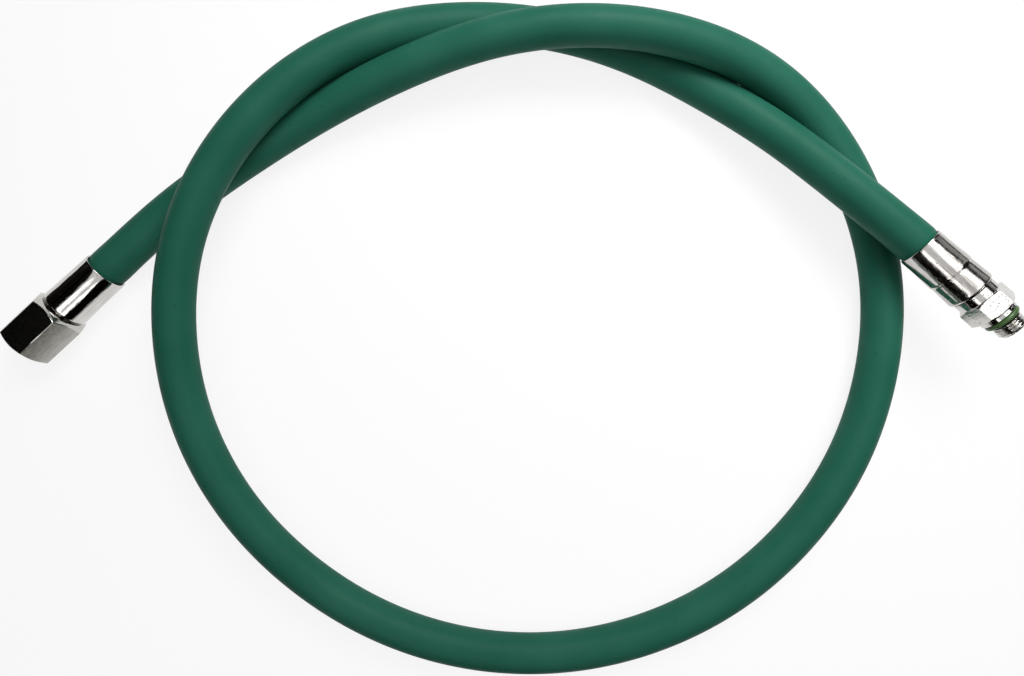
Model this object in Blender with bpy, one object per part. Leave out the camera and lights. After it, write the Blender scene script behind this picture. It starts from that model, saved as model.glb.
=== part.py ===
"""Low pressure breathing-regulator hose, lying in an open overhand turn.

A rubber hose with a crimped chromed ferrule at each end. One end carries a
fixed male fitting with a hexagon, an O-ring and a straight thread for the
first stage. The other end carries a free-turning hexagon nut with an inner
thread, and the sealing nose inside it, for the second stage.

Metres, +Z up, standing surface at Z = 0. The nut's axis runs along -X.
"""

import bpy
import bmesh
import numpy as np
from math import cos, pi, radians, sin, tan
from mathutils import Vector

# Hose
HOSE_OUTER_DIAMETER = 0.0132
HOSE_BORE = 0.0064
HOSE_POINTS = 72
HOSE_SIDES = 12

# Clearances between neighbouring pieces
SEAT_GAP = 0.0003
GRIP_GAP = 0.00025
NUT_FLOAT = 0.0006

# Ferrules, the crimped sleeves over the hose ends
MALE_FERRULE_LENGTH = 0.0216
MALE_FERRULE_MOUTH_WALL = 0.00035
MALE_FERRULE_SHOULDER_WALL = 0.00075
FEMALE_FERRULE_LENGTH = 0.0198
FEMALE_FERRULE_MOUTH_WALL = 0.00060
FEMALE_FERRULE_SHOULDER_WALL = 0.00100
FERRULE_END_WALL = 0.0013
FERRULE_EDGE_ROUND = 0.0009
FERRULE_LIP_ROUND = 0.00015
CRIMP_LENGTH = 0.0129
CRIMP_STEP = 0.00015
CRIMP_STEP_LENGTH = 0.0003

# Barbed tails, the same on both stems
STEM_BORE = 0.0038
BARB_DIAMETER = 0.0056
BARB_ROOT_DIAMETER = 0.0050
BARB_COUNT = 4
BARB_PITCH = 0.0036
BARB_CREST_WIDTH = 0.00045
BARB_TIP_LENGTH = 0.0009
HOSE_STOP_DIAMETER = 0.0092
HOSE_STOP_WIDTH = 0.0008
STEM_GROOVE_DIAMETER = 0.0074

# Male fitting for the first stage, 3/8 inch thread
MALE_COLLAR_DIAMETER = 0.0136
MALE_COLLAR_LENGTH = 0.0029
MALE_HEX_ACROSS_FLATS = 0.0140
MALE_HEX_LENGTH = 0.0068
MALE_HEX_TURN = radians(14.0)
MALE_SEAT_DIAMETER = 0.0120
MALE_SEAT_LENGTH = 0.0012
MALE_EDGE_BEVEL = 0.0003
MALE_GROOVE_DIAMETER = 0.0074
MALE_THREAD_DIAMETER = 0.009525
MALE_THREAD_LENGTH = 0.0040
MALE_THREAD_CHAMFER = 0.0008
MALE_BORE = 0.0047
MALE_BORE_DEPTH = 0.0120

# O-rings and the grooves that hold them
O_RING_SECTION = 0.00178
O_RING_STRETCH_GAP = 0.00025
O_RING_SIDE_GAP = 0.0003

# Female fitting for the second stage, 9/16 inch thread
NUT_ACROSS_FLATS = 0.01746
NUT_LENGTH = 0.0178
NUT_REAR_FACE_DIAMETER = 0.0152
NUT_FRONT_FACE_DIAMETER = 0.0172
NUT_THREAD_BORE = 0.0129
NUT_THREAD_MOUTH_DIAMETER = 0.0148
NUT_REAR_WALL = 0.0026
NUT_RELIEF_DIAMETER = 0.0144
NUT_RELIEF_WIDTH = 0.0020
HEX_CHAMFER_ANGLE = radians(30.0)
NECK_DIAMETER = 0.0088
FLANGE_DIAMETER = 0.0118
FLANGE_WIDTH = 0.0024
NOSE_DIAMETER = 0.0086
NOSE_LENGTH = 0.0060
NOSE_GROOVE_DIAMETER = 0.0061
NOSE_GROOVE_SETBACK = 0.0015
NOSE_CHAMFER = 0.0006

# Where the hose leaves the two ferrules, and which way the fittings point
FEMALE_MOUTH = (-0.0940, 0.1162, NUT_ACROSS_FLATS / 2)
FEMALE_HEADING = radians(180.0)
FEMALE_PITCH = 0.0
MALE_MOUTH = (0.1157, -0.0686, 0.0233)
MALE_HEADING = radians(-88.3)
MALE_PITCH = radians(8.5)

# Points along the hose from the female ferrule to the male ferrule. It
# passes under itself, over, under, over, under and over on its way.
ROUTE = [
    (-0.0620, 0.1161, 0.0082),
    (-0.0305, 0.1126, 0.0077),
    (0.0010, 0.1056, 0.0098),
    (0.0320, 0.0946, 0.0145),
    (0.0620, 0.0791, 0.0192),
    (0.0880, 0.0586, 0.0207),
    (0.1090, 0.0336, 0.0187),
    (0.1223, 0.0062, 0.0141),
    (0.1255, -0.0234, 0.0095),
    (0.1190, -0.0514, 0.0072),
    (0.1038, -0.0767, 0.0067),
    (0.0815, -0.0974, 0.0067),
    (0.0544, -0.1121, 0.0067),
    (0.0240, -0.1194, 0.0067),
    (-0.0080, -0.1189, 0.0067),
    (-0.0385, -0.1104, 0.0067),
    (-0.0665, -0.0944, 0.0067),
    (-0.0895, -0.0719, 0.0069),
    (-0.1063, -0.0435, 0.0076),
    (-0.1150, -0.0119, 0.0090),
    (-0.1152, 0.0211, 0.0115),
    (-0.1060, 0.0526, 0.0147),
    (-0.0878, 0.0799, 0.0182),
    (-0.0623, 0.1008, 0.0210),
    (-0.0319, 0.1126, 0.0217),
    (0.0000, 0.1155, 0.0196),
    (0.0308, 0.1096, 0.0149),
    (0.0579, 0.0944, 0.0100),
    (0.0800, 0.0726, 0.0075),
    (0.0960, 0.0466, 0.0067),
    (0.1059, 0.0186, 0.0083),
    (0.1115, -0.0099, 0.0132),
    (0.1140, -0.0394, 0.0188),
]

ROUND_SEGMENTS = 36
RING_SEGMENTS = 12
SHARP_ANGLE = radians(35.0)

# What the ferrules and grooves take from the pieces that they hold
HOSE_STOP_DEPTH = FERRULE_END_WALL + HOSE_STOP_WIDTH + 2 * SEAT_GAP
FERRULE_BORE = HOSE_OUTER_DIAMETER + 2 * GRIP_GAP
FERRULE_HOLE = STEM_GROOVE_DIAMETER + 2 * SEAT_GAP
O_RING_GROOVE_WIDTH = O_RING_SECTION + 2 * O_RING_SIDE_GAP


def clear_scene():
    for scene_object in list(bpy.data.objects):
        bpy.data.objects.remove(scene_object, do_unlink=True)


def make_material(name, colour, roughness, metallic):
    material = bpy.data.materials.new(name)
    material.use_nodes = True
    shader = material.node_tree.nodes["Principled BSDF"]
    shader.inputs["Base Color"].default_value = (*colour, 1.0)
    shader.inputs["Roughness"].default_value = roughness
    shader.inputs["Metallic"].default_value = metallic
    return material


def add_object(name, data, parent, material):
    new_object = bpy.data.objects.new(name, data)
    bpy.context.collection.objects.link(new_object)
    new_object.parent = parent
    if material is not None:
        data.materials.append(material)
    return new_object


def make_axis(name, mouth, heading, pitch):
    """An empty at a ferrule's mouth, with its Z axis pointing away from the hose."""
    axis = bpy.data.objects.new(name, None)
    bpy.context.collection.objects.link(axis)
    axis.location = mouth
    axis.rotation_euler = (0.0, pi / 2 - pitch, heading)
    return axis


def direction(heading, pitch):
    return Vector((cos(heading) * cos(pitch), sin(heading) * cos(pitch), sin(pitch)))


def turned_mesh(name, profile, segments=ROUND_SEGMENTS):
    """A closed outline of (radius, place) points turned about the Z axis."""
    shape = bmesh.new()
    corners = [shape.verts.new((radius, 0.0, place)) for radius, place in profile]
    edges = [shape.edges.new((a, b)) for a, b in zip(corners, corners[1:] + corners[:1])]
    bmesh.ops.spin(
        shape,
        geom=corners + edges,
        axis=(0.0, 0.0, 1.0),
        cent=(0.0, 0.0, 0.0),
        steps=segments,
        angle=2 * pi,
        use_merge=True,
    )
    bmesh.ops.recalc_face_normals(shape, faces=shape.faces)
    mesh = bpy.data.meshes.new(name)
    shape.to_mesh(mesh)
    shape.free()
    mesh.shade_smooth()
    mesh.set_sharp_from_angle(angle=SHARP_ANGLE)
    return mesh


def corner_arc(centre_radius, centre_place, size, start, end, steps=3):
    """Points of a rounded corner in the outline, between two angles."""
    angles = [start + (end - start) * step / steps for step in range(steps + 1)]
    return [(centre_radius + size * cos(a), centre_place + size * sin(a)) for a in angles]


def across_corners(across_flats):
    return across_flats / cos(pi / 6)


def cut_hexagon(blank, across_flats, start, length, turn, parent):
    """Cuts the flats of a hexagon into a turned blank, with a hexagonal die."""
    shape = bmesh.new()
    inner_radius = across_corners(across_flats) / 2
    outer_radius = 2 * inner_radius
    rings = []
    for radius, place in (
        (inner_radius, start),
        (inner_radius, start + length),
        (outer_radius, start + length),
        (outer_radius, start),
    ):
        angles = [turn + pi / 6 + side * pi / 3 for side in range(6)]
        rings.append([shape.verts.new((radius * cos(a), radius * sin(a), place)) for a in angles])
    for ring, following in zip(rings, rings[1:] + rings[:1]):
        for side in range(6):
            after = (side + 1) % 6
            shape.faces.new((ring[side], ring[after], following[after], following[side]))
    bmesh.ops.recalc_face_normals(shape, faces=shape.faces)
    die_mesh = bpy.data.meshes.new(blank.name + "_hex_die")
    shape.to_mesh(die_mesh)
    shape.free()
    die = add_object(blank.name + "_hex_die", die_mesh, parent, None)
    die.hide_render = True
    die.display_type = "WIRE"
    cut = blank.modifiers.new("hexagon_flats", "BOOLEAN")
    cut.operation = "DIFFERENCE"
    cut.solver = "EXACT"
    cut.object = die


def barbed_tail(ferrule_length):
    """Outline of a stem from its tip in the hose to the groove behind the hose stop."""
    root = BARB_ROOT_DIAMETER / 2
    crest = BARB_DIAMETER / 2
    hose_end = ferrule_length - HOSE_STOP_DEPTH
    first = hose_end - BARB_COUNT * BARB_PITCH - BARB_TIP_LENGTH
    outline = [(root, first)]
    for barb in range(BARB_COUNT):
        place = first + (barb + 1) * BARB_PITCH
        outline.append((crest, place - BARB_CREST_WIDTH))
        outline.append((crest, place))
        outline.append((root, place))
    stop = hose_end + SEAT_GAP
    outline.append((root, stop))
    outline.append((HOSE_STOP_DIAMETER / 2, stop))
    outline.append((HOSE_STOP_DIAMETER / 2, stop + HOSE_STOP_WIDTH))
    outline.append((STEM_GROOVE_DIAMETER / 2, stop + HOSE_STOP_WIDTH))
    return outline


def make_ferrule(name, length, mouth_wall, shoulder_wall, crimp_step, parent, material):
    """Sleeve that widens to its shoulder, with an end wall hooked in the stem's groove."""
    bore = FERRULE_BORE / 2
    mouth = bore + mouth_wall
    shoulder = bore + shoulder_wall
    lip = FERRULE_LIP_ROUND
    edge = FERRULE_EDGE_ROUND
    crimped = mouth + (shoulder - mouth) * CRIMP_LENGTH / length + crimp_step
    outline = [(bore, lip), (bore + lip, 0.0)]
    outline += corner_arc(mouth - lip, lip, lip, -pi / 2, 0.0, 2)
    if crimp_step > 0.0:
        outline.append((crimped, CRIMP_LENGTH))
        outline.append((crimped - 2 * crimp_step, CRIMP_LENGTH + CRIMP_STEP_LENGTH))
    outline += corner_arc(shoulder - edge, length - edge, edge, 0.0, pi / 2, 4)
    outline.append((FERRULE_HOLE / 2, length))
    outline.append((FERRULE_HOLE / 2, length - FERRULE_END_WALL))
    outline.append((bore, length - FERRULE_END_WALL))
    return add_object(name, turned_mesh(name, outline), parent, material)


def make_male_stem(parent, material):
    """Barbed tail, round collar, chamfered hexagon, O-ring groove and thread in one piece."""
    collar_start = MALE_FERRULE_LENGTH + SEAT_GAP
    hex_start = collar_start + MALE_COLLAR_LENGTH
    hex_end = hex_start + MALE_HEX_LENGTH
    seat_end = hex_end + MALE_SEAT_LENGTH
    thread_start = seat_end + O_RING_GROOVE_WIDTH
    thread_end = thread_start + MALE_THREAD_LENGTH
    groove = STEM_GROOVE_DIAMETER / 2
    collar = MALE_COLLAR_DIAMETER / 2
    corner = across_corners(MALE_HEX_ACROSS_FLATS) / 2
    seat = MALE_SEAT_DIAMETER / 2
    thread = MALE_THREAD_DIAMETER / 2
    rear_chamfer = (corner - collar) * tan(HEX_CHAMFER_ANGLE)
    front_chamfer = (corner - seat) * tan(HEX_CHAMFER_ANGLE)
    outline = barbed_tail(MALE_FERRULE_LENGTH)
    outline += [
        (groove, collar_start),
        (collar - MALE_EDGE_BEVEL, collar_start),
        (collar, collar_start + MALE_EDGE_BEVEL),
        (collar, hex_start),
        (corner, hex_start + rear_chamfer),
        (corner, hex_end - front_chamfer),
        (seat, hex_end),
        (seat, seat_end - MALE_EDGE_BEVEL),
        (seat - MALE_EDGE_BEVEL, seat_end),
        (MALE_GROOVE_DIAMETER / 2, seat_end),
        (MALE_GROOVE_DIAMETER / 2, thread_start),
        (thread, thread_start),
        (thread, thread_end - MALE_THREAD_CHAMFER),
        (thread - MALE_THREAD_CHAMFER, thread_end),
        (MALE_BORE / 2, thread_end),
        (MALE_BORE / 2, thread_end - MALE_BORE_DEPTH),
        (STEM_BORE / 2, thread_end - MALE_BORE_DEPTH),
        (STEM_BORE / 2, outline[0][1]),
    ]
    stem = add_object("male_stem", turned_mesh("male_stem", outline), parent, material)
    cut_hexagon(stem, MALE_HEX_ACROSS_FLATS, hex_start, MALE_HEX_LENGTH, MALE_HEX_TURN, parent)
    return seat_end


def make_female_stem(parent, material):
    """Barbed tail, neck, nut-retaining flange and sealing nose in one piece."""
    neck_start = FEMALE_FERRULE_LENGTH + SEAT_GAP
    nut_start = neck_start + NUT_FLOAT
    flange_start = nut_start + NUT_REAR_WALL + SEAT_GAP
    flange_end = flange_start + FLANGE_WIDTH
    nose_end = flange_end + NOSE_LENGTH
    groove_end = nose_end - NOSE_GROOVE_SETBACK
    groove_start = groove_end - O_RING_GROOVE_WIDTH
    nose = NOSE_DIAMETER / 2
    outline = barbed_tail(FEMALE_FERRULE_LENGTH)
    outline += [
        (STEM_GROOVE_DIAMETER / 2, neck_start),
        (NECK_DIAMETER / 2, neck_start),
        (NECK_DIAMETER / 2, flange_start),
        (FLANGE_DIAMETER / 2, flange_start),
        (FLANGE_DIAMETER / 2, flange_end),
        (nose, flange_end),
        (nose, groove_start),
        (NOSE_GROOVE_DIAMETER / 2, groove_start),
        (NOSE_GROOVE_DIAMETER / 2, groove_end),
        (nose, groove_end),
        (nose, nose_end - NOSE_CHAMFER),
        (nose - NOSE_CHAMFER, nose_end),
        (STEM_BORE / 2, nose_end),
        (STEM_BORE / 2, outline[0][1]),
    ]
    add_object("female_stem", turned_mesh("female_stem", outline), parent, material)
    return nut_start, groove_start


def make_swivel_nut(nut_start, parent, material):
    """Hexagon nut that turns on the stem's neck, open at its threaded front."""
    rear = NUT_REAR_FACE_DIAMETER / 2
    front = NUT_FRONT_FACE_DIAMETER / 2
    corner = across_corners(NUT_ACROSS_FLATS) / 2
    bore = NUT_THREAD_BORE / 2
    relief = NUT_RELIEF_DIAMETER / 2
    countersink = NUT_THREAD_MOUTH_DIAMETER / 2
    hole = (NECK_DIAMETER + 2 * SEAT_GAP) / 2
    relief_end = NUT_REAR_WALL + NUT_RELIEF_WIDTH
    outline = [
        (hole, 0.0),
        (rear, 0.0),
        (corner, (corner - rear) * tan(HEX_CHAMFER_ANGLE)),
        (corner, NUT_LENGTH - (corner - front) * tan(HEX_CHAMFER_ANGLE)),
        (front, NUT_LENGTH),
        (countersink, NUT_LENGTH),
        (bore, NUT_LENGTH - (countersink - bore)),
        (bore, relief_end + relief - bore),
        (relief, relief_end),
        (relief, NUT_REAR_WALL),
        (hole, NUT_REAR_WALL),
    ]
    nut = add_object("swivel_nut", turned_mesh("swivel_nut", outline), parent, material)
    nut.location = (0.0, 0.0, nut_start)
    cut_hexagon(nut, NUT_ACROSS_FLATS, 0.0, NUT_LENGTH, 0.0, parent)
    bpy.data.objects["swivel_nut_hex_die"].location = nut.location
    return nut


def make_o_ring(name, groove_diameter, groove_start, parent, material):
    section = O_RING_SECTION / 2
    centre_radius = groove_diameter / 2 + O_RING_STRETCH_GAP + section
    centre_place = groove_start + O_RING_GROOVE_WIDTH / 2
    outline = corner_arc(centre_radius, centre_place, section, 0.0, 2 * pi, RING_SEGMENTS)[:-1]
    ring = add_object(name, turned_mesh(name, outline), parent, material)
    ring.data.shade_smooth()
    return ring


def smooth_route(points, start_direction, end_direction):
    """Cubic curve with no kink or jump in bend, through all points; returns a function of 0 to 1."""
    places = np.array(points)
    steps = np.linalg.norm(np.diff(places, axis=0), axis=1)
    distance = np.concatenate(([0.0], np.cumsum(steps)))
    count = len(places)
    matrix = np.zeros((count, count))
    target = np.zeros((count, 3))
    matrix[0, 0] = 1.0
    matrix[-1, -1] = 1.0
    target[0] = start_direction
    target[-1] = end_direction
    for i in range(1, count - 1):
        before, after = steps[i - 1], steps[i]
        matrix[i, i - 1] = 1 / before
        matrix[i, i] = 2 / before + 2 / after
        matrix[i, i + 1] = 1 / after
        target[i] = 3 * (places[i] - places[i - 1]) / before**2
        target[i] += 3 * (places[i + 1] - places[i]) / after**2
    slopes = np.linalg.solve(matrix, target)

    def position(share):
        travelled = share * distance[-1]
        i = min(int(np.searchsorted(distance, travelled, side="right")) - 1, count - 2)
        t = (travelled - distance[i]) / steps[i]
        return (
            (2 * t**3 - 3 * t**2 + 1) * places[i]
            + (t**3 - 2 * t**2 + t) * steps[i] * slopes[i]
            + (3 * t**2 - 2 * t**3) * places[i + 1]
            + (t**3 - t**2) * steps[i] * slopes[i + 1]
        )

    return position


def make_hose(material):
    """Rubber tube, pushed straight into each ferrule and curved freely between them."""
    female_out = direction(FEMALE_HEADING, FEMALE_PITCH)
    male_out = direction(MALE_HEADING, MALE_PITCH)
    points = [FEMALE_MOUTH] + ROUTE + [MALE_MOUTH]
    position = smooth_route(points, -female_out, male_out)
    between = [Vector(position(step / (HOSE_POINTS - 3))) for step in range(HOSE_POINTS - 2)]
    first = Vector(FEMALE_MOUTH) + (FEMALE_FERRULE_LENGTH - HOSE_STOP_DEPTH) * female_out
    last = Vector(MALE_MOUTH) + (MALE_FERRULE_LENGTH - HOSE_STOP_DEPTH) * male_out
    centreline = [first] + between + [last]

    curve = bpy.data.curves.new("hose", "CURVE")
    curve.dimensions = "3D"
    curve.twist_mode = "MINIMUM"
    curve.bevel_mode = "ROUND"
    curve.bevel_depth = HOSE_OUTER_DIAMETER / 2
    curve.bevel_resolution = HOSE_SIDES // 2 - 2
    curve.use_fill_caps = False
    spline = curve.splines.new("POLY")
    spline.points.add(len(centreline) - 1)
    for point, place in zip(spline.points, centreline):
        point.co = (*place, 1.0)
    spline.use_smooth = True
    hose = add_object("hose", curve, None, material)
    wall = hose.modifiers.new("wall", "SOLIDIFY")
    wall.thickness = (HOSE_OUTER_DIAMETER - HOSE_BORE) / 2
    wall.offset = -1.0
    return hose


clear_scene()

rubber = make_material("green_rubber", (0.022, 0.130, 0.090), 0.45, 0.0)
male_chrome = make_material("male_stem_chrome", (0.80, 0.79, 0.77), 0.08, 1.0)
female_chrome = make_material("female_stem_chrome", (0.80, 0.79, 0.77), 0.10, 1.0)
nut_chrome = make_material("swivel_nut_chrome", (0.78, 0.77, 0.75), 0.10, 1.0)
male_ferrule_chrome = make_material("male_ferrule_chrome", (0.82, 0.81, 0.79), 0.07, 1.0)
female_ferrule_chrome = make_material("female_ferrule_chrome", (0.82, 0.81, 0.79), 0.07, 1.0)
male_seal = make_material("male_o_ring_rubber", (0.16, 0.26, 0.12), 0.40, 0.0)
nose_seal = make_material("nose_o_ring_rubber", (0.16, 0.26, 0.12), 0.40, 0.0)

female_axis = make_axis("female_fitting_axis", FEMALE_MOUTH, FEMALE_HEADING, FEMALE_PITCH)
male_axis = make_axis("male_fitting_axis", MALE_MOUTH, MALE_HEADING, MALE_PITCH)

make_hose(rubber)

make_ferrule(
    "male_ferrule",
    MALE_FERRULE_LENGTH,
    MALE_FERRULE_MOUTH_WALL,
    MALE_FERRULE_SHOULDER_WALL,
    CRIMP_STEP,
    male_axis,
    male_ferrule_chrome,
)
male_ring_place = make_male_stem(male_axis, male_chrome)
make_o_ring("male_o_ring", MALE_GROOVE_DIAMETER, male_ring_place, male_axis, male_seal)

make_ferrule(
    "female_ferrule",
    FEMALE_FERRULE_LENGTH,
    FEMALE_FERRULE_MOUTH_WALL,
    FEMALE_FERRULE_SHOULDER_WALL,
    0.0,
    female_axis,
    female_ferrule_chrome,
)
nut_place, nose_ring_place = make_female_stem(female_axis, female_chrome)
make_o_ring("nose_o_ring", NOSE_GROOVE_DIAMETER, nose_ring_place, female_axis, nose_seal)
make_swivel_nut(nut_place, female_axis, nut_chrome)
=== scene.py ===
from math import cos, exp, pi, radians, sin, tan

import bmesh
import bpy
import numpy as np
from mathutils import Matrix, Vector


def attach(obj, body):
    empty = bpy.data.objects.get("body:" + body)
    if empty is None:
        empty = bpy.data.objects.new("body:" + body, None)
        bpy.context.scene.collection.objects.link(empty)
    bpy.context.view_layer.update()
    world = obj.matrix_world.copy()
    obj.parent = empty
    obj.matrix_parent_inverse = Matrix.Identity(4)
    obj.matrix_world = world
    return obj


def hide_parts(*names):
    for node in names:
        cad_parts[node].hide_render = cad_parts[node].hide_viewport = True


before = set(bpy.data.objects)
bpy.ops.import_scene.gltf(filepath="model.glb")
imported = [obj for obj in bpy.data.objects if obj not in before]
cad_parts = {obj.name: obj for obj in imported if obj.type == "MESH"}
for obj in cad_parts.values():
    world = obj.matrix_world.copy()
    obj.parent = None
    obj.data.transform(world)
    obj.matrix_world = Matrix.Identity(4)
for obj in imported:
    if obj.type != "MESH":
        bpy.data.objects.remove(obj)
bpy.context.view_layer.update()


# The camera looks straight down on the table from a quarter of a metre, with
# the nut's end at the left of the picture and the male end at the right.
CAMERA_PLACE = (-0.00447, 0.00095, 0.2394)
PICTURE_TURN = radians(-42.75)

camera_data = bpy.data.cameras.new("overhead_camera")
camera_data.sensor_width = 36.0
camera_data.lens = 22.85
camera_data.clip_start = 0.01
camera = bpy.data.objects.new("overhead_camera", camera_data)
camera.location = CAMERA_PLACE
camera.rotation_euler = (0.0, 0.0, PICTURE_TURN)
bpy.context.collection.objects.link(camera)
bpy.context.scene.camera = camera


# The hose is a length of extruded green rubber tube, pushed straight into both
# ferrules. Between them it lies in one open turn and crosses itself three
# times, and it is pressed flat where it rests on the table.
HOSE_RADIUS = 0.0068
GRIPPED_RADIUS = 0.0066
FEMALE_MOUTH = Vector((-0.0940, 0.1162, 0.00873))
FEMALE_HEADING = radians(180.0)
FEMALE_PITCH = 0.0
MALE_MOUTH = Vector((0.1157, -0.0686, 0.0233))
MALE_HEADING = radians(-88.3)
MALE_PITCH = radians(8.5)
FEMALE_GRIP = 0.0171
MALE_GRIP = 0.0189
CLOSE_STRETCH = 0.0120
CLOSE_RINGS = 30
OPEN_RINGS = 440
HOSE_ROUTE = [
    (-0.0620, 0.1161, 0.0082),
    (-0.0305, 0.1126, 0.0077),
    (0.0010, 0.1056, 0.0098),
    (0.0320, 0.0946, 0.0145),
    (0.0620, 0.0791, 0.0192),
    (0.0880, 0.0586, 0.0207),
    (0.1090, 0.0336, 0.0187),
    (0.1223, 0.0062, 0.0141),
    (0.1255, -0.0234, 0.0095),
    (0.1190, -0.0514, 0.0072),
    (0.1038, -0.0767, 0.0067),
    (0.0815, -0.0974, 0.0067),
    (0.0544, -0.1121, 0.0067),
    (0.0240, -0.1194, 0.0067),
    (-0.0080, -0.1189, 0.0067),
    (-0.0385, -0.1104, 0.0067),
    (-0.0665, -0.0944, 0.0067),
    (-0.0895, -0.0719, 0.0069),
    (-0.1063, -0.0435, 0.0076),
    (-0.1150, -0.0119, 0.0090),
    (-0.1152, 0.0211, 0.0115),
    (-0.1060, 0.0526, 0.0147),
    (-0.0878, 0.0799, 0.0182),
    (-0.0623, 0.1008, 0.0210),
    (-0.0319, 0.1126, 0.0217),
    (0.0000, 0.1155, 0.0196),
    (0.0308, 0.1096, 0.0149),
    (0.0579, 0.0944, 0.0100),
    (0.0800, 0.0726, 0.0075),
    (0.0960, 0.0466, 0.0067),
    (0.1059, 0.0186, 0.0083),
    (0.1115, -0.0099, 0.0132),
    (0.1140, -0.0394, 0.0188),
]


def pointing(heading, pitch):
    return Vector((cos(heading) * cos(pitch), sin(heading) * cos(pitch), sin(pitch)))


def lay_of_the_hose(points, first_way, last_way):
    """Places along a smooth curve through the points, closest together near the two mouths."""
    places = np.array(points)
    steps = np.linalg.norm(np.diff(places, axis=0), axis=1)
    travelled = np.concatenate(([0.0], np.cumsum(steps)))
    count = len(places)
    matrix = np.zeros((count, count))
    target = np.zeros((count, 3))
    matrix[0, 0] = matrix[-1, -1] = 1.0
    target[0], target[-1] = first_way, last_way
    for i in range(1, count - 1):
        before, after = steps[i - 1], steps[i]
        matrix[i, i - 1 : i + 2] = (1 / before, 2 / before + 2 / after, 1 / after)
        target[i] = 3 * (places[i] - places[i - 1]) / before**2
        target[i] += 3 * (places[i + 1] - places[i]) / after**2
    slopes = np.linalg.solve(matrix, target)
    near_mouth = np.linspace(0.0, CLOSE_STRETCH, CLOSE_RINGS, endpoint=False)
    middle = np.linspace(CLOSE_STRETCH, travelled[-1] - CLOSE_STRETCH, OPEN_RINGS)
    lay = []
    for distance in np.concatenate((near_mouth, middle, travelled[-1] - near_mouth[::-1])):
        i = min(int(np.searchsorted(travelled, distance, side="right")) - 1, count - 2)
        t = (distance - travelled[i]) / steps[i]
        place = (2 * t**3 - 3 * t**2 + 1) * places[i] + (3 * t**2 - 2 * t**3) * places[i + 1]
        place += steps[i] * ((t**3 - 2 * t**2 + t) * slopes[i] + (t**3 - t**2) * slopes[i + 1])
        lay.append(Vector(place))
    return lay


female_way = pointing(FEMALE_HEADING, FEMALE_PITCH)
male_way = pointing(MALE_HEADING, MALE_PITCH)
shares = [step / 8 for step in range(8, 0, -1)]
free_lay = lay_of_the_hose([FEMALE_MOUTH] + HOSE_ROUTE + [MALE_MOUTH], -female_way, male_way)
centreline = [FEMALE_MOUTH + share * FEMALE_GRIP * female_way for share in shares]
centreline += free_lay
centreline += [MALE_MOUTH + share * MALE_GRIP * male_way for share in reversed(shares)]

along = [0.0]
for here, there in zip(centreline, centreline[1:]):
    along.append(along[-1] + (there - here).length)
female_mouth_at = FEMALE_GRIP
male_mouth_at = along[-1] - MALE_GRIP
HOSE_SIDES = 40
GRIP_EDGE = 0.0005
SWELL = 0.00010
SWELL_AT = 0.0030
SWELL_REACH = 0.0040
PINCH = 0.00032
PINCH_REACH = 0.0007

tube = bmesh.new()
running = tube.loops.layers.uv.new("running_length")
side_way = Vector((0.0, 0.0, 1.0))
rings = []
for i, place in enumerate(centreline):
    ahead = centreline[min(i + 1, len(centreline) - 1)] - centreline[max(i - 1, 0)]
    ahead.normalize()
    side_way = (side_way - side_way.dot(ahead) * ahead).normalized()
    across = ahead.cross(side_way)
    outside = min(along[i] - female_mouth_at, male_mouth_at - along[i])
    radius = GRIPPED_RADIUS
    if outside > -GRIP_EDGE:
        radius = HOSE_RADIUS + SWELL * exp(-((outside - SWELL_AT) / SWELL_REACH) ** 2)
    radius -= PINCH * exp(-((outside / PINCH_REACH) ** 2))
    ring = []
    for side in range(HOSE_SIDES):
        angle = 2 * pi * side / HOSE_SIDES
        skin = place + radius * (cos(angle) * side_way + sin(angle) * across)
        skin.z = max(skin.z, 0.0)
        ring.append(tube.verts.new(skin))
    rings.append(ring)
for i, (ring, following) in enumerate(zip(rings, rings[1:])):
    for side in range(HOSE_SIDES):
        after = (side + 1) % HOSE_SIDES
        face = tube.faces.new((ring[side], ring[after], following[after], following[side]))
        face.smooth = True
        corners = ((i, side), (i, side + 1), (i + 1, side + 1), (i + 1, side))
        for loop, (ring_at, side_at) in zip(face.loops, corners):
            loop[running].uv = (side_at / HOSE_SIDES, along[ring_at])
tube.faces.new(rings[0][::-1])
tube.faces.new(rings[-1])
bmesh.ops.recalc_face_normals(tube, faces=tube.faces)
hose_mesh = bpy.data.meshes.new("rubber_hose")
tube.to_mesh(hose_mesh)
tube.free()
rubber_hose = bpy.data.objects.new("rubber_hose", hose_mesh)
bpy.context.collection.objects.link(rubber_hose)


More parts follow.
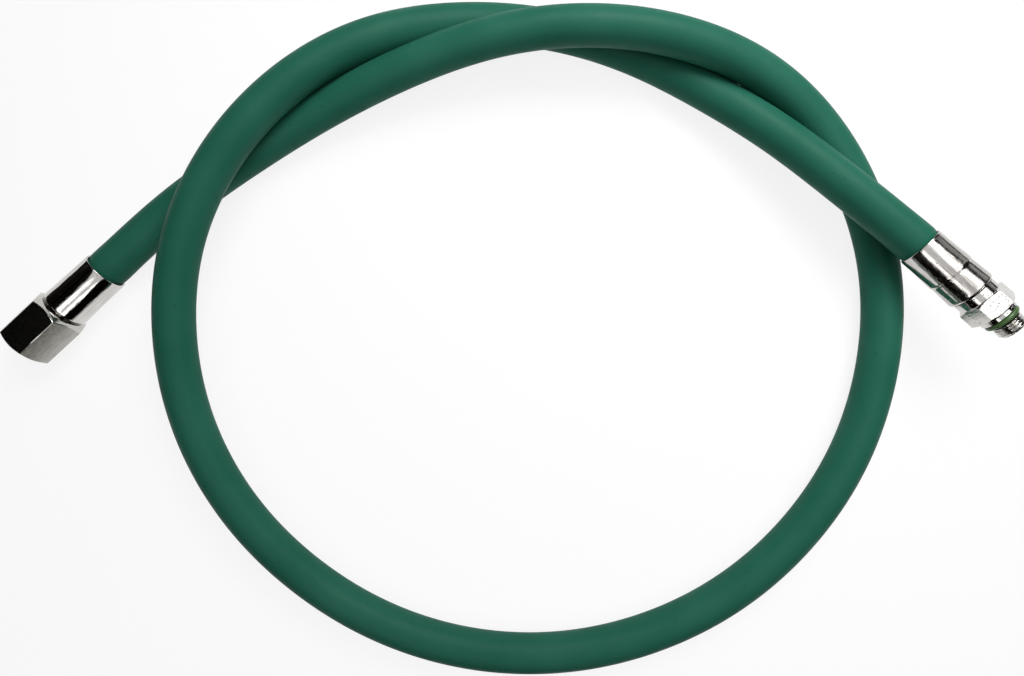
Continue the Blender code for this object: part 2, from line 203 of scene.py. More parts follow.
class Finish:
    """A material and its nodes, wired one after the other."""

    def __init__(self, name, metallic, roughness):
        self.material = bpy.data.materials.new(name)
        self.material.use_nodes = True
        self.nodes = self.material.node_tree.nodes
        self.links = self.material.node_tree.links
        self.shader = self.nodes["Principled BSDF"]
        self.shader.inputs["Metallic"].default_value = metallic
        self.shader.inputs["Roughness"].default_value = roughness

    def node(self, kind, values=None, **settings):
        made = self.nodes.new(kind)
        for name, value in settings.items():
            setattr(made, name, value)
        for socket, value in (values or {}).items():
            made.inputs[socket].default_value = value
        return made

    def join(self, source, output, target, socket):
        self.links.new(source.outputs[output], target.inputs[socket])

    def noise(self, place, scale, detail=3.0, stretch=(1.0, 1.0, 1.0)):
        """Noise in the piece's own space, drawn out along its axes."""
        mapping = self.node("ShaderNodeMapping", {"Scale": stretch})
        noise = self.node("ShaderNodeTexNoise", {"Scale": scale, "Detail": detail})
        self.join(place[0], place[1], mapping, "Vector")
        self.join(mapping, "Vector", noise, "Vector")
        return noise

    def between(self, source, output, low, high, to_low, to_high):
        """Stretches a value from one range to another."""
        made = self.node(
            "ShaderNodeMapRange",
            {"From Min": low, "From Max": high, "To Min": to_low, "To Max": to_high},
        )
        self.join(source, output, made, "Value")
        return made

    def grain(self, sources, distance):
        """Bumps one on the other, from a list of (node, output, share)."""
        previous = None
        for source, output, share in sources:
            bump = self.node("ShaderNodeBump", {"Distance": distance * share, "Strength": 1.0})
            self.join(source, output, bump, "Height")
            if previous is not None:
                self.join(previous, "Normal", bump, "Normal")
            previous = bump
        self.join(previous, "Normal", self.shader, "Normal")


RUBBER_GREEN = (0.0125, 0.0990, 0.0640, 1.0)
RUBBER_WORN = (0.0185, 0.1160, 0.0770, 1.0)
RUBBER_SPECK = (0.0060, 0.0480, 0.0320, 1.0)

rubber = Finish("green_hose_rubber", 0.0, 0.42)
rubber.shader.inputs["Specular IOR Level"].default_value = 0.08
rubber_place = (rubber.node("ShaderNodeTexCoord"), "Object")
bloom = rubber.noise(rubber_place, 38.0, 4.0)
bloom_share = rubber.between(bloom, "Fac", 0.35, 0.70, 0.0, 1.0)
rubber_colour = rubber.node("ShaderNodeMix", data_type="RGBA")
rubber_colour.inputs[6].default_value = RUBBER_GREEN
rubber_colour.inputs[7].default_value = RUBBER_WORN
rubber.join(bloom_share, "Result", rubber_colour, 0)
specks = rubber.node("ShaderNodeTexVoronoi", {"Scale": 210.0})
rubber.join(rubber_place[0], "Object", specks, "Vector")
speck_share = rubber.between(specks, "Distance", 0.045, 0.075, 0.8, 0.0)
speckled = rubber.node("ShaderNodeMix", data_type="RGBA")
speckled.inputs[7].default_value = RUBBER_SPECK
rubber.links.new(rubber_colour.outputs[2], speckled.inputs[6])
rubber.join(speck_share, "Result", speckled, 0)
rubber.links.new(speckled.outputs[2], rubber.shader.inputs["Base Color"])
rubbed = rubber.noise(rubber_place, 160.0, 5.0)
rubber_gloss = rubber.between(rubbed, "Fac", 0.3, 0.7, 0.42, 0.56)
rubber.join(rubber_gloss, "Result", rubber.shader, "Roughness")
pores = rubber.noise(rubber_place, 3200.0, 2.0)
ripples = rubber.noise(rubber_place, 260.0, 3.0)
rubber.grain([(ripples, "Fac", 1.0), (pores, "Fac", 0.25)], 0.00006)

hose_mesh.materials.append(rubber.material)
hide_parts("hose")
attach(rubber_hose, "hose_body")


# Each ferrule is a sleeve of chromed brass, pressed over the hose's end in a
# crimping machine. It widens to its shoulder, where its end wall is hooked
# into a groove of the stem, and its edges are rounded over by the pressing.
MALE_FERRULE_LENGTH = 0.0216
FEMALE_FERRULE_LENGTH = 0.0198
MALE_FERRULE_MOUTH = 0.0144
MALE_FERRULE_SHOULDER = 0.0152
FEMALE_FERRULE_MOUTH = 0.0149
FEMALE_FERRULE_SHOULDER = 0.0157
FERRULE_BORE = 0.01370
FERRULE_WALL = 0.0013
FERRULE_HOLE = 0.0080
FERRULE_EDGE = 0.0009
FERRULE_LIP = 0.00018
RIM_AT = 0.0012
FLARE = 0.00008
FLARE_AT = 0.0007
TAPER_AT = 0.0045
TAPER_SHARE = 0.35
CRIMP_AT = 0.0129
CRIMP_STEP = 0.00010
CRIMP_FALL = 0.0006
CRIMP_ROUNDING = 0.0009
SHOULDER_DRAW = 0.00003
SHOULDER_RUN = 0.0008
DRAWN_METAL = (0.30, 0.265, 0.24, 1.0)
BARE_METAL = (0.10, 0.085, 0.07, 1.0)


def arc(radius_at, along_at, size, start, end, steps):
    angles = [start + (end - start) * step / steps for step in range(steps + 1)]
    return [(radius_at + size * cos(a), along_at + size * sin(a)) for a in angles]


def turned_piece(name, outline, segments=144):
    """A closed outline of (radius, place along the axis), turned about the fitting's axis."""
    shape = bmesh.new()
    rings_of_points = []
    for segment in range(segments):
        angle = 2 * pi * segment / segments
        ring = [shape.verts.new((r * cos(angle), r * sin(angle), z)) for r, z in outline]
        rings_of_points.append(ring)
    for ring, following in zip(rings_of_points, rings_of_points[1:] + rings_of_points[:1]):
        for i in range(len(outline)):
            j = (i + 1) % len(outline)
            shape.faces.new((ring[i], following[i], following[j], ring[j]))
    bmesh.ops.recalc_face_normals(shape, faces=shape.faces)
    mesh = bpy.data.meshes.new(name)
    shape.to_mesh(mesh)
    shape.free()
    mesh.shade_smooth()
    mesh.set_sharp_from_angle(angle=radians(32.0))
    piece = bpy.data.objects.new(name, mesh)
    bpy.context.collection.objects.link(piece)
    return piece


def on_the_fitting(piece, mouth, heading, pitch):
    """Puts a piece's own Z axis on the fitting's axis, pointing away from the hose."""
    piece.location = mouth
    piece.rotation_euler = (0.0, pi / 2 - pitch, heading)


def ferrule(name, length, mouth_diameter, shoulder_diameter, crimp_step):
    mouth, shoulder = mouth_diameter / 2, shoulder_diameter / 2
    bore = FERRULE_BORE / 2
    at_crimp = mouth + (shoulder - mouth) * CRIMP_AT / length
    outline = [(bore, RIM_AT)]
    outline += arc(bore + FERRULE_LIP, FERRULE_LIP, FERRULE_LIP, -pi, -pi / 2, 4)
    outline += arc(mouth - FERRULE_LIP, FERRULE_LIP, FERRULE_LIP, -pi / 2, 0.0, 4)
    outline.append((mouth + FLARE, FLARE_AT))
    outline.append((mouth + (at_crimp - mouth) * TAPER_SHARE, TAPER_AT))
    if crimp_step:
        outline.append((at_crimp + 0.97 * crimp_step, CRIMP_AT - CRIMP_ROUNDING))
        for share in (-0.8, -0.4, 0.0, 0.4, 0.8):
            fall = crimp_step * sin(share * pi / 2)
            outline.append((at_crimp - fall, CRIMP_AT + CRIMP_FALL * share))
        outline.append((at_crimp - crimp_step, CRIMP_AT + CRIMP_ROUNDING))
    outline.append((shoulder - SHOULDER_DRAW, length - FERRULE_EDGE - SHOULDER_RUN))
    outline += arc(shoulder - FERRULE_EDGE, length - FERRULE_EDGE, FERRULE_EDGE, 0.0, pi / 2, 8)
    outline.append((FERRULE_HOLE / 2, length))
    outline.append((FERRULE_HOLE / 2, length - FERRULE_WALL))
    outline.append((bore, length - FERRULE_WALL))
    return turned_piece(name, outline)


def chrome(name, colour, ripple, brushing, polish, drawn=0.0, pitted=0.0):
    """Chrome plate: ripples, turning lines, haze, drawing lines along the axis and pits."""
    plate = Finish(name, 1.0, 0.06)
    place = (plate.node("ShaderNodeTexCoord"), "Object")
    haze = plate.noise(place, 210.0, 5.0)
    tint = plate.node("ShaderNodeMix", data_type="RGBA")
    tint.inputs[6].default_value = (*colour, 1.0)
    tint.inputs[7].default_value = (*[0.90 * part for part in colour], 1.0)
    haze_share = plate.between(haze, "Fac", 0.35, 0.75, 0.0, 1.0)
    plate.join(haze_share, "Result", tint, 0)
    streaks = plate.noise(place, 1500.0, 3.0, (1.0, 1.0, 0.06))
    streak_share = plate.between(streaks, "Fac", 0.52, 0.68, 0.0, drawn)
    drawn_tint = plate.node("ShaderNodeMix", data_type="RGBA")
    drawn_tint.inputs[7].default_value = DRAWN_METAL
    plate.join(streak_share, "Result", drawn_tint, 0)
    plate.links.new(tint.outputs[2], drawn_tint.inputs[6])
    dents = plate.node("ShaderNodeTexVoronoi", {"Scale": 900.0})
    plate.join(*place, dents, "Vector")
    bare = plate.between(dents, "Distance", 0.08, 0.20, 0.3 * pitted, 0.0)
    pitted_tint = plate.node("ShaderNodeMix", data_type="RGBA")
    pitted_tint.inputs[7].default_value = BARE_METAL
    plate.join(bare, "Result", pitted_tint, 0)
    plate.links.new(drawn_tint.outputs[2], pitted_tint.inputs[6])
    plate.links.new(pitted_tint.outputs[2], plate.shader.inputs["Base Color"])
    wear = plate.noise(place, 900.0, 6.0)
    gloss = plate.between(wear, "Fac", 0.35, 0.75, *polish)
    plate.join(gloss, "Result", plate.shader, "Roughness")
    waves = plate.noise(place, 420.0, 2.0, (1.0, 1.0, 0.35))
    lines = plate.noise(place, 900.0, 3.0, (0.25, 0.25, 6.0))
    pit = plate.between(dents, "Distance", 0.10, 0.24, 0.0, 1.0)
    pits = (pit, "Result", pitted)
    plate.grain([(waves, "Fac", ripple), (lines, "Fac", brushing), pits], 0.00002)
    return plate.material


male_sleeve_chrome = chrome(
    "male_sleeve_chrome",
    (0.61, 0.59, 0.565),
    ripple=4.4,
    brushing=0.5,
    polish=(0.11, 0.22),
    drawn=0.80,
    pitted=1.2,
)
female_sleeve_chrome = chrome(
    "female_sleeve_chrome",
    (0.64, 0.63, 0.61),
    ripple=3.4,
    brushing=0.5,
    polish=(0.05, 0.12),
    drawn=0.45,
)

male_ferrule_sleeve = ferrule(
    "male_ferrule_sleeve",
    MALE_FERRULE_LENGTH,
    MALE_FERRULE_MOUTH,
    MALE_FERRULE_SHOULDER,
    CRIMP_STEP,
)
on_the_fitting(male_ferrule_sleeve, MALE_MOUTH, MALE_HEADING, MALE_PITCH)
male_ferrule_sleeve.data.materials.append(male_sleeve_chrome)
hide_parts("male_ferrule")
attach(male_ferrule_sleeve, "hose_body")

female_ferrule_sleeve = ferrule(
    "female_ferrule_sleeve",
    FEMALE_FERRULE_LENGTH,
    FEMALE_FERRULE_MOUTH,
    FEMALE_FERRULE_SHOULDER,
    0.0,
)
on_the_fitting(female_ferrule_sleeve, FEMALE_MOUTH, FEMALE_HEADING, FEMALE_PITCH)
female_ferrule_sleeve.data.materials.append(female_sleeve_chrome)
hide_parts("female_ferrule")
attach(female_ferrule_sleeve, "hose_body")


# The male stem is turned from one bar of hexagon brass and chromed. Its barbed
# tail grips the hose's bore. Outside are a round collar, the spanner hexagon
# with both ends chamfered, a groove for the O-ring and the 3/8 inch thread.
SEAT_GAP = 0.0003
STEM_BORE = 0.0038
TAIL_REACH = 0.0180
BARBS = 4
BARB_DIAMETER = 0.0056
BARB_ROOT = 0.0050
BARB_PITCH = 0.0036
BARB_LAND = 0.00045
LAST_BARB_TO_STOP = 0.0020
HOSE_STOP = 0.0092
HOSE_STOP_WIDTH = 0.0008
STEM_GROOVE = 0.0074
COLLAR_DIAMETER = 0.0136
COLLAR_LENGTH = 0.0029
MALE_HEX = 0.0140
MALE_HEX_LENGTH = 0.0068
MALE_HEX_TURN = radians(14.0)
MALE_HEX_EDGE = 0.00018
SEAT_DIAMETER = 0.0120
SEAT_LENGTH = 0.0012
MALE_GROOVE = 0.0074
GROOVE_WIDTH = 0.00238
MALE_THREAD = 0.009525
MALE_THREAD_ROOT = 0.0080
MALE_THREAD_PITCH = 0.0254 / 24
MALE_THREAD_LENGTH = 0.0040
MALE_BORE = 0.0047
MALE_BORE_DEPTH = 0.0120
BORE_CHAMFER = 0.0003
COLLAR_START = MALE_FERRULE_LENGTH + SEAT_GAP
MALE_HEX_START = COLLAR_START + COLLAR_LENGTH
MALE_HEX_END = MALE_HEX_START + MALE_HEX_LENGTH
SEAT_END = MALE_HEX_END + SEAT_LENGTH
MALE_THREAD_START = SEAT_END + GROOVE_WIDTH
MALE_THREAD_END = MALE_THREAD_START + MALE_THREAD_LENGTH
HEX_CHAMFER = tan(radians(30.0))
SMALLEST_FLAT = 0.000012
THREAD_COLUMNS = 96
THREAD_ROWS_PER_TURN = 18
THREAD_ROOT_SHARE = 0.12
THREAD_FLANK_SHARE = 0.72


def barbed_tail(ferrule_length):
    """The outline of the tail in the hose, up to the groove that the ferrule hooks into."""
    stop_end = ferrule_length - FERRULE_WALL - SEAT_GAP
    tip = stop_end - LAST_BARB_TO_STOP - BARBS * BARB_PITCH
    barb, root = BARB_DIAMETER / 2, BARB_ROOT / 2
    outline = [(root, tip)]
    for number in range(BARBS):
        top = tip + (number + 1) * BARB_PITCH
        outline += [(barb, top - BARB_LAND), (barb, top), (root, top)]
    stop_start = stop_end - HOSE_STOP_WIDTH
    outline += [(root, stop_start), (HOSE_STOP / 2, stop_start), (HOSE_STOP / 2, stop_end)]
    outline.append((STEM_GROOVE / 2, stop_end))
    return outline


def mill_hexagon(blank, across_flats, start, end, turn, edge):
    """Takes the six flats off a turned blank with a hexagonal ring, then breaks the edges."""
    die_shape = bmesh.new()
    corner = across_flats / 2 / cos(pi / 6)
    die_rings = []
    for radius, place in ((corner, start), (corner, end), (2 * corner, end), (2 * corner, start)):
        angles = [turn + pi / 6 + side * pi / 3 for side in range(6)]
        die_rings.append(
            [die_shape.verts.new((radius * cos(a), radius * sin(a), place)) for a in angles]
        )
    for ring, following in zip(die_rings, die_rings[1:] + die_rings[:1]):
        for side in range(6):
            after = (side + 1) % 6
            die_shape.faces.new((ring[side], ring[after], following[after], following[side]))
    bmesh.ops.recalc_face_normals(die_shape, faces=die_shape.faces)
    die_mesh = bpy.data.meshes.new(blank.name + "_die")
    die_shape.to_mesh(die_mesh)
    die_shape.free()
    die = bpy.data.objects.new(blank.name + "_die", die_mesh)
    bpy.context.collection.objects.link(die)
    milling = blank.modifiers.new("milling", "BOOLEAN")
    milling.operation = "DIFFERENCE"
    milling.solver = "EXACT"
    milling.object = die
    breaking = blank.modifiers.new("broken_edges", "BEVEL")
    breaking.width = edge
    breaking.segments = 1
    breaking.limit_method = "ANGLE"
    breaking.angle_limit = radians(35.0)
    milled = bpy.data.meshes.new_from_object(
        blank.evaluated_get(bpy.context.evaluated_depsgraph_get())
    )
    blank.modifiers.clear()
    blank.data = milled
    bpy.data.objects.remove(die, do_unlink=True)
    milled.set_sharp_from_angle(angle=radians(25.0))
    for face in milled.polygons:
        if abs(face.normal.z) < 0.001 and face.area > SMALLEST_FLAT:
            face.use_smooth = False


def thread_skin(name, root, crest, pitch, start, end, start_run, end_run, inward):
    """The helical face of a thread: a sleeve whose radius follows the thread's teeth."""
    skin = bmesh.new()
    rows = int((end - start) / pitch * THREAD_ROWS_PER_TURN)
    grid = []
    for row in range(rows + 1):
        place = start + (end - start) * row / rows
        ring = []
        for column in range(THREAD_COLUMNS):
            turn_share = column / THREAD_COLUMNS
            tooth = abs(2 * ((place / pitch + turn_share) % 1.0) - 1)
            height = min(max((tooth - THREAD_ROOT_SHARE) / THREAD_FLANK_SHARE, 0.0), 1.0)
            near_start = min(max((place - start) / start_run, 0.0), 1.0)
            near_end = min(max((end - place) / end_run, 0.0), 1.0)
            height = min(height, near_start, near_end)
            radius = root + (crest - root) * height
            angle = 2 * pi * turn_share
            ring.append(skin.verts.new((radius * cos(angle), radius * sin(angle), place)))
        grid.append(ring)
    for ring, following in zip(grid, grid[1:]):
        for column in range(THREAD_COLUMNS):
            after = (column + 1) % THREAD_COLUMNS
            face = skin.faces.new((ring[column], ring[after], following[after], following[column]))
            if inward:
                face.normal_flip()
            face.smooth = True
    mesh = bpy.data.meshes.new(name)
    skin.to_mesh(mesh)
    skin.free()
    mesh.set_sharp_from_angle(angle=radians(50.0))
    piece = bpy.data.objects.new(name, mesh)
    bpy.context.collection.objects.link(piece)
    return piece


fitting_chrome = chrome(
    "fitting_chrome",
    (0.64, 0.625, 0.60),
    ripple=1.8,
    brushing=0.6,
    polish=(0.08, 0.17),
    pitted=2.2,
)

hex_corner = MALE_HEX / 2 / cos(pi / 6)
male_outline = barbed_tail(MALE_FERRULE_LENGTH) + [
    (STEM_GROOVE / 2, COLLAR_START),
    (COLLAR_DIAMETER / 2, COLLAR_START),
    (COLLAR_DIAMETER / 2, MALE_HEX_START),
    (hex_corner, MALE_HEX_START + (hex_corner - COLLAR_DIAMETER / 2) * HEX_CHAMFER),
    (hex_corner, MALE_HEX_END - (hex_corner - SEAT_DIAMETER / 2) * HEX_CHAMFER),
    (SEAT_DIAMETER / 2, MALE_HEX_END),
    (SEAT_DIAMETER / 2, SEAT_END),
    (MALE_GROOVE / 2, SEAT_END),
    (MALE_GROOVE / 2, MALE_THREAD_START),
    (MALE_THREAD_ROOT / 2, MALE_THREAD_START),
    (MALE_THREAD_ROOT / 2, MALE_THREAD_END),
    (MALE_BORE / 2 + BORE_CHAMFER, MALE_THREAD_END),
    (MALE_BORE / 2, MALE_THREAD_END - BORE_CHAMFER),
    (MALE_BORE / 2, MALE_THREAD_END - MALE_BORE_DEPTH),
    (STEM_BORE / 2, MALE_THREAD_END - MALE_BORE_DEPTH),
    (STEM_BORE / 2, MALE_FERRULE_LENGTH - TAIL_REACH),
]
male_stem_fitting = turned_piece("male_stem_fitting", male_outline, segments=96)
mill_hexagon(
    male_stem_fitting, MALE_HEX, MALE_HEX_START, MALE_HEX_END, MALE_HEX_TURN, MALE_HEX_EDGE
)
on_the_fitting(male_stem_fitting, MALE_MOUTH, MALE_HEADING, MALE_PITCH)
male_stem_fitting.data.materials.clear()
male_stem_fitting.data.materials.append(fitting_chrome)
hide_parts("male_stem")
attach(male_stem_fitting, "hose_body")

male_thread = thread_skin(
    "male_thread",
    MALE_THREAD_ROOT / 2,
    MALE_THREAD / 2,
    MALE_THREAD_PITCH,
    MALE_THREAD_START,
    MALE_THREAD_END,
    start_run=0.0004,
    end_run=0.0010,
    inward=False,
)
on_the_fitting(male_thread, MALE_MOUTH, MALE_HEADING, MALE_PITCH)
male_thread.data.materials.append(fitting_chrome)
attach(male_thread, "hose_body")


# Two O-rings of green rubber are sprung into their grooves: one against the
# male collar, and one near the tip of the female nose.
O_RING_SECTION = 0.00178
O_RING_GAP = 0.00025
SEAL_GREEN = (0.042, 0.098, 0.026, 1.0)
SEAL_WORN = (0.070, 0.140, 0.040, 1.0)

seal = Finish("seal_rubber", 0.0, 0.35)
seal_place = (seal.node("ShaderNodeTexCoord"), "Object")
seal_cloud = seal.noise(seal_place, 320.0, 3.0)
seal_share = seal.between(seal_cloud, "Fac", 0.3, 0.7, 0.0, 1.0)
seal_colour = seal.node("ShaderNodeMix", data_type="RGBA")
seal_colour.inputs[6].default_value = SEAL_GREEN
seal_colour.inputs[7].default_value = SEAL_WORN
seal.join(seal_share, "Result", seal_colour, 0)
seal.links.new(seal_colour.outputs[2], seal.shader.inputs["Base Color"])
seal.grain([(seal.noise(seal_place, 2600.0, 2.0), "Fac", 1.0)], 0.00001)


def o_ring(name, groove_diameter, centre, node, mouth, heading, pitch):
    section = O_RING_SECTION / 2
    centre_radius = groove_diameter / 2 + O_RING_GAP + section
    outline = arc(centre_radius, centre, section, 0.0, 2 * pi, 24)[:-1]
    ring = turned_piece(name, outline, segments=96)
    on_the_fitting(ring, mouth, heading, pitch)
    ring.data.materials.append(seal.material)
    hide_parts(node)
    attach(ring, "hose_body")
    return ring


male_seal_ring = o_ring(
    "male_seal_ring",
    MALE_GROOVE,
    SEAT_END + GROOVE_WIDTH / 2,
    "male_o_ring",
    MALE_MOUTH,
    MALE_HEADING,
    MALE_PITCH,
)


# The female stem is turned from round brass and chromed. Behind its tail a
# plain neck carries the nut, a flange keeps the nut on, and the nose with its
# O-ring groove enters the second stage.
NECK = 0.0088
FLANGE = 0.0118
FLANGE_LENGTH = 0.0024
FLANGE_CHAMFER = 0.0002
NOSE = 0.0086
NOSE_LENGTH = 0.0060
NOSE_CHAMFER = 0.0006
NOSE_TIP = 0.0015
NOSE_GROOVE = 0.0061
NUT_GAP = 0.0006
NUT_WALL = 0.0026
NECK_START = FEMALE_FERRULE_LENGTH + SEAT_GAP
NUT_START = NECK_START + NUT_GAP
FLANGE_START = NUT_START + NUT_WALL + SEAT_GAP
FLANGE_END = FLANGE_START + FLANGE_LENGTH
NOSE_END = FLANGE_END + NOSE_LENGTH
NOSE_GROOVE_END = NOSE_END - NOSE_TIP
NOSE_GROOVE_START = NOSE_GROOVE_END - GROOVE_WIDTH

female_outline = barbed_tail(FEMALE_FERRULE_LENGTH) + [
    (STEM_GROOVE / 2, NECK_START),
    (NECK / 2, NECK_START),
    (NECK / 2, FLANGE_START),
    (FLANGE / 2, FLANGE_START),
    (FLANGE / 2, FLANGE_END - FLANGE_CHAMFER),
    (FLANGE / 2 - FLANGE_CHAMFER, FLANGE_END),
    (NOSE / 2, FLANGE_END),
    (NOSE / 2, NOSE_GROOVE_START),
    (NOSE_GROOVE / 2, NOSE_GROOVE_START),
    (NOSE_GROOVE / 2, NOSE_GROOVE_END),
    (NOSE / 2, NOSE_GROOVE_END),
    (NOSE / 2, NOSE_END - NOSE_CHAMFER),
    (NOSE / 2 - NOSE_CHAMFER, NOSE_END),
    (STEM_BORE / 2 + BORE_CHAMFER, NOSE_END),
    (STEM_BORE / 2, NOSE_END - BORE_CHAMFER),
    (STEM_BORE / 2, FEMALE_FERRULE_LENGTH - TAIL_REACH),
]
female_stem_fitting = turned_piece("female_stem_fitting", female_outline, segments=96)
on_the_fitting(female_stem_fitting, FEMALE_MOUTH, FEMALE_HEADING, FEMALE_PITCH)
female_stem_fitting.data.materials.append(fitting_chrome)
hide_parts("female_stem")
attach(female_stem_fitting, "hose_body")

nose_seal_ring = o_ring(
    "nose_seal_ring",
    NOSE_GROOVE,
    (NOSE_GROOVE_START + NOSE_GROOVE_END) / 2,
    "nose_o_ring",
    FEMALE_MOUTH,
    FEMALE_HEADING,
    FEMALE_PITCH,
)


# The nut is cut from hexagon brass bar, chamfered at both ends, tapped with
# the 9/16 inch thread from its front and chromed. It turns freely on the neck.
NUT_FLATS = 0.01746
NUT_LENGTH = 0.0178
NUT_REAR = 0.0152
NUT_FRONT = 0.0172
NUT_EDGE = 0.00045
NUT_HOLE = 0.0094
NUT_THREAD_CREST = 0.0129
NUT_THREAD_ROOT = 0.0143
NUT_THREAD_PITCH = 0.0254 / 18
NUT_THREAD_RELIEF = 0.0020
NUT_COUNTERSINK = 0.00025
nut_end = NUT_START + NUT_LENGTH
nut_corner = NUT_FLATS / 2 / cos(pi / 6)

nut_chrome = chrome(
    "nut_chrome", (0.56, 0.55, 0.515), ripple=1.2, brushing=0.8, polish=(0.14, 0.20)
)
nut_outline = [
    (NUT_HOLE / 2, NUT_START),
    (NUT_REAR / 2, NUT_START),
    (nut_corner, NUT_START + (nut_corner - NUT_REAR / 2) * HEX_CHAMFER),
    (nut_corner, nut_end - (nut_corner - NUT_FRONT / 2) * HEX_CHAMFER),
    (NUT_FRONT / 2, nut_end),
    (NUT_THREAD_ROOT / 2 + NUT_COUNTERSINK, nut_end),
    (NUT_THREAD_ROOT / 2, nut_end - NUT_COUNTERSINK),
    (NUT_THREAD_ROOT / 2, NUT_START + NUT_WALL),
    (NUT_HOLE / 2, NUT_START + NUT_WALL),
]
hexagon_nut = turned_piece("hexagon_nut", nut_outline, segments=96)
mill_hexagon(hexagon_nut, NUT_FLATS, NUT_START, nut_end, 0.0, NUT_EDGE)
on_the_fitting(hexagon_nut, FEMALE_MOUTH, FEMALE_HEADING, FEMALE_PITCH)
hexagon_nut.data.materials.clear()
hexagon_nut.data.materials.append(nut_chrome)
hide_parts("swivel_nut")
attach(hexagon_nut, "nut_body")

nut_thread = thread_skin(
    "nut_thread",
    NUT_THREAD_ROOT / 2,
    NUT_THREAD_CREST / 2,
    NUT_THREAD_PITCH,
    NUT_START + NUT_WALL + NUT_THREAD_RELIEF,
    nut_end,
    start_run=0.0008,
    end_run=0.0010,
    inward=True,
)
on_the_fitting(nut_thread, FEMALE_MOUTH, FEMALE_HEADING, FEMALE_PITCH)
nut_thread.data.materials.append(nut_chrome)
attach(nut_thread, "nut_body")


# A white table top under a large soft box with two brighter panels, and a key
# light over the picture's upper edge. Only the polished metal reflects the
# black tent round it and the grey card below the picture's lower edge; the
# card is painted shade, a dark sheet that stands for the shaded floor there.
FLOOR_REACH = 1.6
TABLE_SQUARE = [(-1, -1), (1, -1), (1, 1), (-1, 1)]
PAPER_LIFT = 0.85

floor_mesh = bpy.data.meshes.new("table_top")
floor_corners = [(FLOOR_REACH * x, FLOOR_REACH * y, 0.0) for x, y in TABLE_SQUARE]
floor_mesh.from_pydata(floor_corners, [], [(0, 1, 2, 3)])
table_top = bpy.data.objects.new("table_top", floor_mesh)
bpy.context.collection.objects.link(table_top)
paper = Finish("white_paper", 0.0, 0.9)
paper.shader.inputs["Specular IOR Level"].default_value = 0.0
paper_place = (paper.node("ShaderNodeTexCoord"), "Object")
fibres = paper.noise(paper_place, 900.0, 3.0)
paper_tone = paper.node("ShaderNodeMix", data_type="RGBA")
paper_tone.inputs[6].default_value = (0.94, 0.94, 0.94, 1.0)
paper_tone.inputs[7].default_value = (0.96, 0.96, 0.96, 1.0)
paper.join(fibres, "Fac", paper_tone, 0)
paper.links.new(paper_tone.outputs[2], paper.shader.inputs["Base Color"])
rays = paper.node("ShaderNodeLightPath")
seen_or_mirrored = paper.node("ShaderNodeMath", operation="MAXIMUM")
paper.join(rays, "Is Camera Ray", seen_or_mirrored, 0)
paper.join(rays, "Is Glossy Ray", seen_or_mirrored, 1)
seen = paper.node("ShaderNodeMath", operation="MAXIMUM")
paper.join(seen_or_mirrored, 0, seen, 0)
paper.join(rays, "Is Transmission Ray", seen, 1)
lift = paper.node("ShaderNodeMath", {1: PAPER_LIFT}, operation="MULTIPLY")
paper.join(seen, 0, lift, 0)
glow = paper.node("ShaderNodeEmission", {"Color": (1.0, 1.0, 1.0, 1.0), "Strength": 1.0})
blend = paper.node("ShaderNodeMixShader")
paper.join(lift, 0, blend, 0)
paper.links.new(paper.shader.outputs["BSDF"], blend.inputs[1])
paper.links.new(glow.outputs["Emission"], blend.inputs[2])
paper.links.new(blend.outputs["Shader"], paper.nodes["Material Output"].inputs["Surface"])
floor_mesh.materials.append(paper.material)

right_way = Vector((cos(PICTURE_TURN), sin(PICTURE_TURN), 0.0))
up_way = Vector((-sin(PICTURE_TURN), cos(PICTURE_TURN), 0.0))


def soft_lamp(name, place, aim, width, height, power):
    """A flat lamp at a place given to the right of, up from and over the table's middle."""
    lamp = bpy.data.lights.new(name, "AREA")
    lamp.shape = "RECTANGLE"
    lamp.size = width
    lamp.size_y = height
    lamp.energy = power
    holder = bpy.data.objects.new(name, lamp)
    holder.location = place[0] * right_way + place[1] * up_way + Vector((0.0, 0.0, place[2]))
    target = aim[0] * right_way + aim[1] * up_way
    away = (holder.location - target).normalized()
    side = up_way.cross(away).normalized()
    turn = Matrix((side, away.cross(side), away)).transposed()
    holder.rotation_euler = turn.to_euler()
    bpy.context.collection.objects.link(holder)
    return holder


def mirrored_only(screen):
    """Puts a studio screen where only the polished metal reflects it."""
    screen.visible_camera = False
    screen.visible_diffuse = False
    screen.visible_shadow = False
    screen.visible_transmission = False


soft_lamp("soft_box", (0.13, -0.06, 0.80), (0.13, -0.06), 1.02, 1.10, 2.6)
soft_lamp("right_panel", (0.39, 0.185, 0.79), (0.39, 0.185), 0.50, 0.61, 1.20)
soft_lamp("left_panel", (-0.285, -0.40, 0.79), (-0.285, -0.40), 0.19, 0.42, 0.34)
key_light = soft_lamp("key_light", (0.14, 0.32, 0.36), (0.10, 0.13), 0.30, 0.26, 0.80)
key_light.data.spread = radians(96.0)
edge_light = soft_lamp("edge_light", (-0.14, -0.78, 0.80), (-0.14, -0.78), 0.48, 0.34, 1.10)
edge_light.visible_diffuse = False
soft_lamp("strip_light", (0.96, 0.66, 0.46), (0.1, 0.1), 0.50, 0.28, 0.16)
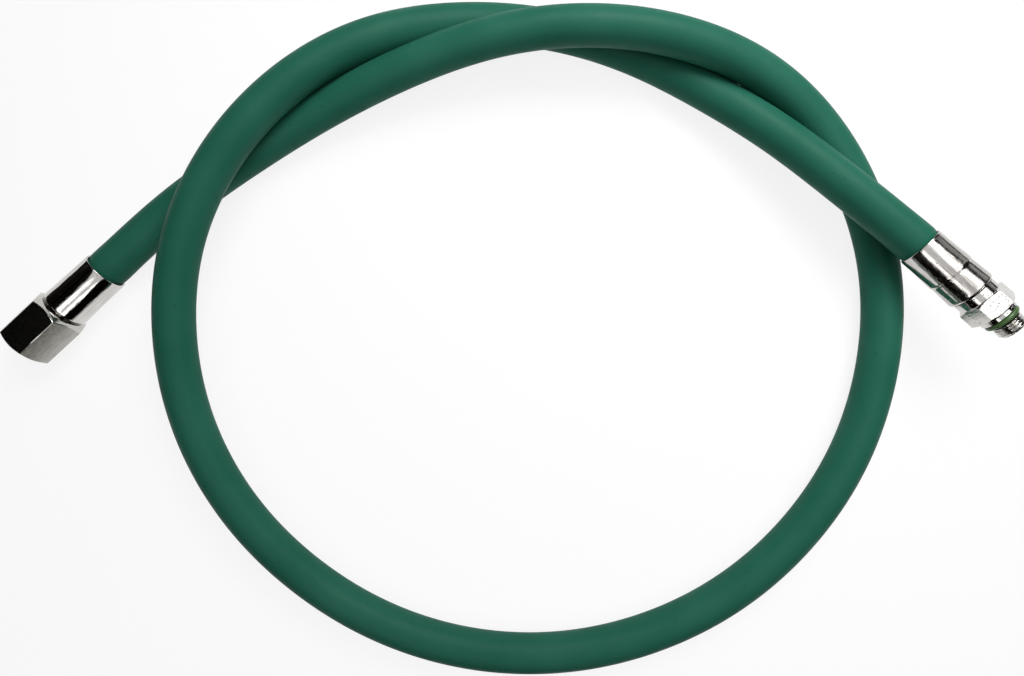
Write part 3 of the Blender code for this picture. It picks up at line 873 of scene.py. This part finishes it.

# The grey card lying on the table is painted shade: a dark sheet that only the metal reflects,
# standing for the shaded floor in the metal's reflections.
CARD_HEIGHT = 0.0005
card_mesh = bpy.data.meshes.new("painted_shade_card")
card_corners = [(-0.70, -0.145), (0.70, -0.145), (0.70, -0.90), (-0.70, -0.90)]
card_mesh.from_pydata(
    [x * right_way + y * up_way + Vector((0.0, 0.0, CARD_HEIGHT)) for x, y in card_corners],
    [],
    [(0, 1, 2, 3)],
)
painted_shade_card = bpy.data.objects.new("painted_shade_card", card_mesh)
bpy.context.collection.objects.link(painted_shade_card)
card = Finish("painted_shade_card", 0.0, 0.9)
card.shader.inputs["Specular IOR Level"].default_value = 0.0
# The card's olive-grey tone, lighter and darker at random, is the painted shade that the metal
# shows.
painted_shade_tone = card.node("ShaderNodeMix", data_type="RGBA")
painted_shade_tone.inputs[6].default_value = (0.085, 0.088, 0.062, 1.0)
painted_shade_tone.inputs[7].default_value = (0.190, 0.185, 0.140, 1.0)
card_place = (card.node("ShaderNodeTexCoord"), "Object")
card.join(card.noise(card_place, 30.0, 3.0), "Fac", painted_shade_tone, 0)
card.links.new(painted_shade_tone.outputs[2], card.shader.inputs["Base Color"])
card_mesh.materials.append(card.material)
mirrored_only(painted_shade_card)

TENT_REACH = 1.3
TENT_FOOT = 0.02
TENT_HEIGHT = 1.3
tent_mesh = bpy.data.meshes.new("black_tent")
tent_square = [(TENT_REACH * x, TENT_REACH * y) for x, y in TABLE_SQUARE]
tent_corners = [(x, y, z) for z in (TENT_FOOT, TENT_HEIGHT) for x, y in tent_square]
tent_sides = [(i, (i + 1) % 4, (i + 1) % 4 + 4, i + 4) for i in range(4)]
tent_mesh.from_pydata(tent_corners, [], tent_sides + [(4, 5, 6, 7)])
black_tent = bpy.data.objects.new("black_tent", tent_mesh)
bpy.context.collection.objects.link(black_tent)
cloth = Finish("black_cloth", 0.0, 0.95)
cloth.shader.inputs["Specular IOR Level"].default_value = 0.0
cloth_place = (cloth.node("ShaderNodeTexCoord"), "Object")
# Lighter and darker streaks run up the black cloth: painted light and shade of its folds.
painted_fold_light = cloth.noise(cloth_place, 2.2, 3.0, (1.0, 1.0, 0.3))
painted_fold_shade_tone = cloth.node("ShaderNodeMix", data_type="RGBA")
painted_fold_shade_tone.inputs[6].default_value = (0.010, 0.009, 0.008, 1.0)
painted_fold_shade_tone.inputs[7].default_value = (0.120, 0.105, 0.095, 1.0)
painted_fold_shade_share = cloth.between(painted_fold_light, "Fac", 0.52, 0.72, 0.0, 1.0)
cloth.join(painted_fold_shade_share, "Result", painted_fold_shade_tone, 0)
cloth.links.new(painted_fold_shade_tone.outputs[2], cloth.shader.inputs["Base Color"])
tent_mesh.materials.append(cloth.material)
mirrored_only(black_tent)

world = bpy.data.worlds.new("studio")
bpy.context.scene.world = world
world.use_nodes = True
sky = world.node_tree
room_light = sky.nodes["Background"]
room_light.inputs["Color"].default_value = (1.0, 1.0, 1.0, 1.0)
room_light.inputs["Strength"].default_value = 0.08
backdrop = sky.nodes.new("ShaderNodeBackground")
backdrop.inputs["Color"].default_value = (1.0, 1.0, 1.0, 1.0)
backdrop.inputs["Strength"].default_value = 1.0
ray = sky.nodes.new("ShaderNodeLightPath")
either = sky.nodes.new("ShaderNodeMath")
either.operation = "MAXIMUM"
any_of = sky.nodes.new("ShaderNodeMath")
any_of.operation = "MAXIMUM"
sky.links.new(ray.outputs["Is Camera Ray"], either.inputs[0])
sky.links.new(ray.outputs["Is Glossy Ray"], either.inputs[1])
sky.links.new(either.outputs[0], any_of.inputs[0])
sky.links.new(ray.outputs["Is Transmission Ray"], any_of.inputs[1])
shown = sky.nodes.new("ShaderNodeMixShader")
sky.links.new(any_of.outputs[0], shown.inputs[0])
sky.links.new(room_light.outputs[0], shown.inputs[1])
sky.links.new(backdrop.outputs[0], shown.inputs[2])
sky.links.new(shown.outputs[0], sky.nodes["World Output"].inputs["Surface"])

bpy.context.scene.view_settings.view_transform = "Standard"
